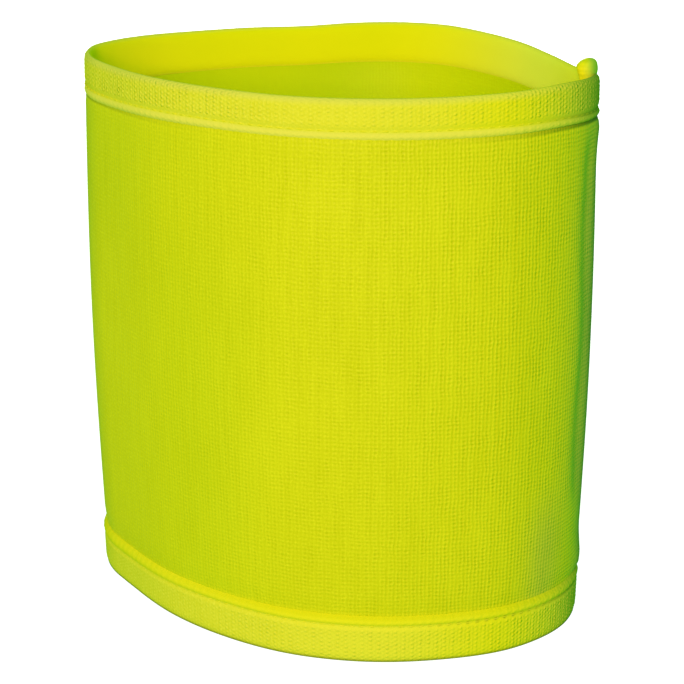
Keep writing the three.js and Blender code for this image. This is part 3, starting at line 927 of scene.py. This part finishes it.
def seam_finish():
    """Folded knit seen from its edge: fine ribs and fibres, and greener with painted shade on the side that
    faces out.
    """
    finish, tree, shader, place, along, up = new_finish("seam_knit", roughness=0.7, gloss=0.1)
    courses = figure(tree, "COSINE", figure(tree, "MULTIPLY", up, 2 * math.pi / COURSE_PITCH))
    fibres = mottle(tree, place, SEAM_FIBRE, stretch_up=3.0, detail=3.0)
    ribs = figure(tree, "MULTIPLY_ADD", courses, 0.12, figure(tree, "SUBTRACT", fibres, 0.5))
    share = figure(tree, "MULTIPLY_ADD", ribs, 2.2, 0.5)
    colour = blend_colours(tree, share, SEAM_DARK, SEAM_LIGHT)
    once_round = 2 * math.pi / (SEAM_SIDE_RUN * SEAM_SIDES)
    towards_out = figure(tree, "COSINE", figure(tree, "MULTIPLY", along, once_round))
    shaded_side = figure(tree, "MAXIMUM", figure(tree, "ADD", towards_out, 0.05), 0.0)
    colour = blend_colours(tree, shaded_side, colour, SEAM_PAINTED_SHADE)
    tree.links.new(colour, shader.inputs["Base Color"])
    raise_relief(tree, shader, fibres, SEAM_RELIEF)
    return finish


seam_rows = np.array([list(row.values()) for row in SEAM_ROWS])
seam_rows[:, :4] *= MM
row_run = np.concatenate([[0], np.cumsum(np.linalg.norm(np.diff(seam_rows[:, :4], axis=0), axis=1))])
even_run = np.linspace(0, row_run[-1], round(row_run[-1] / SEAM_STEP))
levels = np.stack([np.interp(even_run, row_run, seam_rows[:, i]) for i in range(5)], axis=-1)
for _ in range(SEAM_SOFTENING_ROUNDS):
    levels[1:-1] = 0.25 * levels[:-2] + 0.5 * levels[1:-1] + 0.25 * levels[2:]
turn = 2 * np.pi * np.arange(SEAM_SIDES) / SEAM_SIDES
side_across = np.sign(np.cos(turn)) * np.abs(np.cos(turn)) ** (2 / SEAM_SQUARENESS)
side_along = np.sign(np.sin(turn)) * np.abs(np.sin(turn)) ** (2 / SEAM_SQUARENESS)
height, middle, half_across, half_along, degrees = levels.T[:, :, None]
across, along = half_across * side_across, half_along * side_along
twist = np.radians(degrees)
rib_out = middle + across * np.cos(twist) - along * np.sin(twist)
rib_side = across * np.sin(twist) + along * np.cos(twist)
rib_points = lay_on_wall(np.zeros(1), rib_out, height)
tangent = np.array([read_wall(0.0, wall_tangent[:, 0]), read_wall(0.0, wall_tangent[:, 1]), 0.0])
rib_points = rib_points + rib_side[..., None] * tangent
rib_faces, rib_uv = [], []
for level in range(len(levels) - 1):
    for k in range(SEAM_SIDES):
        a = level * SEAM_SIDES + k
        b = level * SEAM_SIDES + (k + 1) % SEAM_SIDES
        rib_faces.append((a, b, b + SEAM_SIDES, a + SEAM_SIDES))
        low, high = height[level, 0], height[level + 1, 0]
        left, right = SEAM_SIDE_RUN * k, SEAM_SIDE_RUN * (k + 1)
        rib_uv += [(left, low), (right, low), (right, high), (left, high)]
rib_faces.append(list(range(SEAM_SIDES))[::-1])
rib_faces.append([(len(levels) - 1) * SEAM_SIDES + k for k in range(SEAM_SIDES)])
rib_uv += [(0, 0)] * SEAM_SIDES * 2
rib_mesh = bpy.data.meshes.new("side_seam_rib")
rib_mesh.from_pydata([tuple(p) for p in rib_points.reshape(-1, 3)], [], rib_faces)
rib_mesh.uv_layers.new(name="knit").uv.foreach_set("vector", np.array(rib_uv, dtype=float).reshape(-1))
side_seam = smooth_piece("side_seam_rib", rib_mesh, seam_finish())
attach(side_seam, "root")
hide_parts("side_seam")


# Studio
# A plain white floor without an edge in view, soft lights in front and behind, and a faint light all round.
# The camera stands to the front right, a little above the rim, and looks down at the tube.

FLOOR_HALF = 12.0
FLOOR_GREY = (0.3, 0.3, 0.3, 1)
WHITE = (1, 1, 1, 1)

floor_mesh = bpy.data.meshes.new("floor")
floor_corners = [(x * FLOOR_HALF, y * FLOOR_HALF, 0) for x, y in ((-1, -1), (1, -1), (1, 1), (-1, 1))]
floor_mesh.from_pydata(floor_corners, [], [(0, 1, 2, 3)])
floor_finish = bpy.data.materials.new("floor_paper")
floor_finish.use_nodes = True
floor_shader = floor_finish.node_tree.nodes["Principled BSDF"]
floor_shader.inputs["Base Color"].default_value = FLOOR_GREY
floor_shader.inputs["Roughness"].default_value = 0.9
floor_shader.inputs["Emission Color"].default_value = WHITE
floor_shader.inputs["Emission Strength"].default_value = 1.0
floor_mesh.materials.append(floor_finish)
floor = bpy.data.objects.new("floor", floor_mesh)
bpy.context.scene.collection.objects.link(floor)
floor.visible_diffuse = False
floor.visible_glossy = False


def soft_light(name, azimuth, elevation, distance, size, power, colour):
    """A square soft light that faces the middle of the tube. Azimuth 0 is in front, 90 on the right."""
    lamp = bpy.data.lights.new(name, "AREA")
    lamp.shape = "SQUARE"
    lamp.size = size
    lamp.energy = power
    lamp.color = colour
    light = bpy.data.objects.new(name, lamp)
    a, e = math.radians(azimuth), math.radians(elevation)
    back = np.array([math.sin(a) * math.cos(e), -math.cos(a) * math.cos(e), math.sin(e)])
    light.location = tuple(back * distance + np.array([0, 0, RIM_HEIGHT / 2]))
    light.rotation_euler = (math.radians(90 - elevation), 0, a)
    bpy.context.scene.collection.objects.link(light)


# Fluorescent yarn is yellow in the light and green in the shade, so the front light is a little pink, and
# the faint light all round is green.
FRONT_TINT = (1.0, 0.655, 1.0)
BACK_TINT = (1.0, 0.95, 0.8)
FILL_TINT = (0.203, 1.0, 0.25, 1)
FILL_STRENGTH = 0.542

soft_light("front_light", azimuth=-1, elevation=21, distance=1.5, size=0.5, power=17.1, colour=FRONT_TINT)
soft_light("back_light", azimuth=190, elevation=8, distance=1.2, size=0.42, power=11.7, colour=BACK_TINT)

# The paper floor sends no light back in this studio. A faint lamp flat on it, inside the tube, does that.
BOUNCE_SIZE = 0.05
BOUNCE_POWER = 0.0185
BOUNCE_TINT = (1.0, 0.73, 0.4)
BOUNCE_PLACE = (0.019, -0.005, 0.003)
bounce_lamp = bpy.data.lights.new("floor_bounce", "AREA")
bounce_lamp.shape = "DISK"
bounce_lamp.size = BOUNCE_SIZE
bounce_lamp.energy = BOUNCE_POWER
bounce_lamp.color = BOUNCE_TINT
floor_bounce = bpy.data.objects.new("floor_bounce", bounce_lamp)
floor_bounce.location = BOUNCE_PLACE
floor_bounce.rotation_euler = (math.pi, 0, 0)
floor_bounce.visible_camera = False
bpy.context.scene.collection.objects.link(floor_bounce)

world = bpy.data.worlds.new("studio")
bpy.context.scene.world = world
world.use_nodes = True
sky_tree = world.node_tree
fill_light = sky_tree.nodes["Background"]
fill_light.inputs["Color"].default_value = FILL_TINT
fill_light.inputs["Strength"].default_value = FILL_STRENGTH
white_wall = sky_tree.nodes.new("ShaderNodeBackground")
white_wall.inputs["Color"].default_value = WHITE
seen = sky_tree.nodes.new("ShaderNodeLightPath")
either = sky_tree.nodes.new("ShaderNodeMixShader")
sky_tree.links.new(seen.outputs["Is Camera Ray"], either.inputs["Fac"])
sky_tree.links.new(fill_light.outputs[0], either.inputs[1])
sky_tree.links.new(white_wall.outputs[0], either.inputs[2])
sky_tree.links.new(either.outputs[0], sky_tree.nodes["World Output"].inputs["Surface"])

bpy.context.scene.view_settings.view_transform = "Standard"

CAMERA_PLACE = (0.09494, -0.46834, 0.23706)
CAMERA_AZIMUTH = 11.4
CAMERA_TILT = 19.3655
CAMERA_LENS = 95.05

camera_data = bpy.data.cameras.new("camera")
camera_data.lens = CAMERA_LENS
camera_data.sensor_width = 36
camera_data.clip_start = 0.01
camera_data.clip_end = 50
camera = bpy.data.objects.new("camera", camera_data)
camera.location = CAMERA_PLACE
camera.rotation_euler = (math.radians(90 - CAMERA_TILT), 0, math.radians(CAMERA_AZIMUTH))
bpy.context.scene.collection.objects.link(camera)
bpy.context.scene.camera = camera
